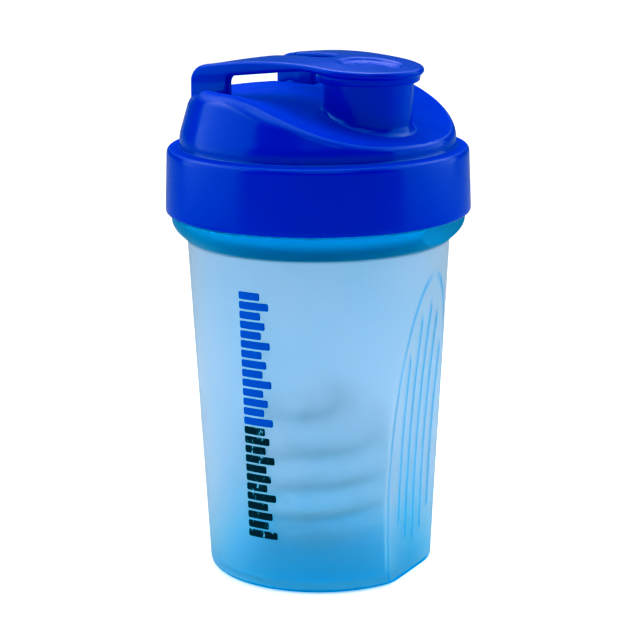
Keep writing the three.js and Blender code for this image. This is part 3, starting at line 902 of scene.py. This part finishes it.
# name, azimuth and elevation in degrees, distance and size in metres, and power of each softbox
SOFTBOXES = (
    ("left_softbox", -89, 22, 0.9, (1.1, 0.9), 4.0),
    ("right_softbox", 94, 22, 0.9, (1.1, 0.9), 3.8),
    ("top_softbox", -20, 75, 0.9, (0.6, 0.6), 1.0),
    ("front_softbox", 5, 38, 0.9, (0.5, 0.3), 0.6),
    ("floor_softbox", 180, 62, 0.55, (0.3, 0.3), 0.6),
)

# how much red is shown for how much there is
RED_CURVE = ((0.06, 0.004), (0.14, 0.07), (0.30, 0.27))

centre = (cad_low + cad_high) / 2
view_angle = math.radians(VIEW_AZIMUTH)
towards_camera = Vector((math.sin(view_angle), -math.cos(view_angle), 0))


def build_floor():
    """White paper, darker in what the glossy lid mirrors but not in what is seen through the cup."""
    bpy.ops.mesh.primitive_circle_add(vertices=128, radius=4, fill_type="NGON", location=(0, 0, -0.0002))
    floor = bpy.context.object
    floor.name = "floor"
    nodes = Nodes("floor_paper", Roughness=0.9, Specular_IOR_Level=0.1)
    tone = nodes.mix(nodes.noise(9, 3), (0.92, 0.93, 0.94), (0.94, 0.95, 0.96))
    seen = nodes.add("ShaderNodeLightPath")
    mirrored = nodes.add("ShaderNodeMath", operation="GREATER_THAN")
    nodes.join(seen.outputs["Is Glossy Ray"], mirrored, 0)
    nodes.join(seen.outputs["Is Transmission Ray"], mirrored, 1)
    nodes.join(nodes.mix(mirrored.outputs[0], tone, (0.3, 0.3, 0.3)), nodes.shader, "Base Color")
    floor.data.materials.append(nodes.material)


def soft_light(name, azimuth, elevation, distance, size, power):
    """A softbox that faces the bottle; azimuth 0 is on the camera's side, growing to its right."""
    a = math.radians(VIEW_AZIMUTH + azimuth)
    e = math.radians(elevation)
    direction = Vector((math.sin(a) * math.cos(e), -math.cos(a) * math.cos(e), math.sin(e)))
    data = bpy.data.lights.new(name, "AREA")
    data.shape = "RECTANGLE"
    data.size, data.size_y = size
    data.energy = power
    light = bpy.data.objects.new(name, data)
    light.location = centre + direction * distance
    light.rotation_euler = (-direction).to_track_quat("-Z", "Y").to_euler()
    bpy.context.scene.collection.objects.link(light)


def build_world():
    """White above, dimmer near the horizon and on the camera's side; seen directly it is plain white."""
    world = bpy.data.worlds.new("studio")
    world.use_nodes = True
    tree = world.node_tree
    tree.nodes.clear()

    def add(kind, **settings):
        node = tree.nodes.new(kind)
        for key, value in settings.items():
            setattr(node, key, value)
        return node

    def remap(source, low, high, to_low, to_high):
        node = add("ShaderNodeMapRange", interpolation_type="SMOOTHSTEP")
        for socket, value in enumerate((low, high, to_low, to_high), 1):
            node.inputs[socket].default_value = value
        tree.links.new(source, node.inputs[0])
        return node.outputs[0]

    direction = add("ShaderNodeTexCoord").outputs["Generated"]
    facing = add("ShaderNodeVectorMath", operation="DOT_PRODUCT")
    facing.inputs[1].default_value = towards_camera
    tree.links.new(direction, facing.inputs[0])
    split = add("ShaderNodeSeparateXYZ")
    tree.links.new(direction, split.inputs[0])
    behind = remap(facing.outputs["Value"], -0.2, 0.75, BACK_GLOW, FRONT_GLOW)
    lit = add("ShaderNodeMath", operation="MULTIPLY")
    tree.links.new(behind, lit.inputs[0])
    tree.links.new(remap(split.outputs["Z"], 0.2, 0.7, HORIZON, 1), lit.inputs[1])
    seen = add("ShaderNodeLightPath")
    choose = add("ShaderNodeMix", data_type="FLOAT")
    choose.inputs[3].default_value = 1.0
    tree.links.new(seen.outputs["Is Camera Ray"], choose.inputs[0])
    tree.links.new(lit.outputs[0], choose.inputs[2])
    glow = add("ShaderNodeBackground")
    glow.inputs["Color"].default_value = (1, 1, 1, 1)
    tree.links.new(choose.outputs[0], glow.inputs["Strength"])
    output = add("ShaderNodeOutputWorld")
    tree.links.new(glow.outputs[0], output.inputs["Surface"])
    bpy.context.scene.world = world


def build_camera():
    """The camera stands in front of the bottle's left side, a little above it and tilted down."""
    data = bpy.data.cameras.new("camera")
    data.sensor_width = 36
    data.lens = LENS
    data.shift_x = LENS_SHIFT
    camera = bpy.data.objects.new("camera", data)
    place = Matrix.Translation(towards_camera * VIEW_DISTANCE + Vector((0, 0, VIEW_HEIGHT)))
    level = Matrix.Rotation(view_angle, 4, "Z")
    tilt = Matrix.Rotation(math.radians(90 - VIEW_PITCH), 4, "X")
    roll = Matrix.Rotation(math.radians(VIEW_ROLL), 4, "Z")
    camera.matrix_world = place @ level @ tilt @ roll
    bpy.context.scene.collection.objects.link(camera)
    bpy.context.scene.camera = camera


def grade():
    """A plain view with deep blues: faint red is held back, as a saturated colour print does."""
    view = bpy.context.scene.view_settings
    view.view_transform = "Standard"
    view.gamma = 0.85
    view.exposure = 0.2
    view.use_curve_mapping = True
    red = view.curve_mapping.curves[0]
    for point in RED_CURVE:
        red.points.new(*point)
    view.curve_mapping.update()


build_floor()
build_world()
build_camera()
for softbox in SOFTBOXES:
    soft_light(*softbox)
grade()
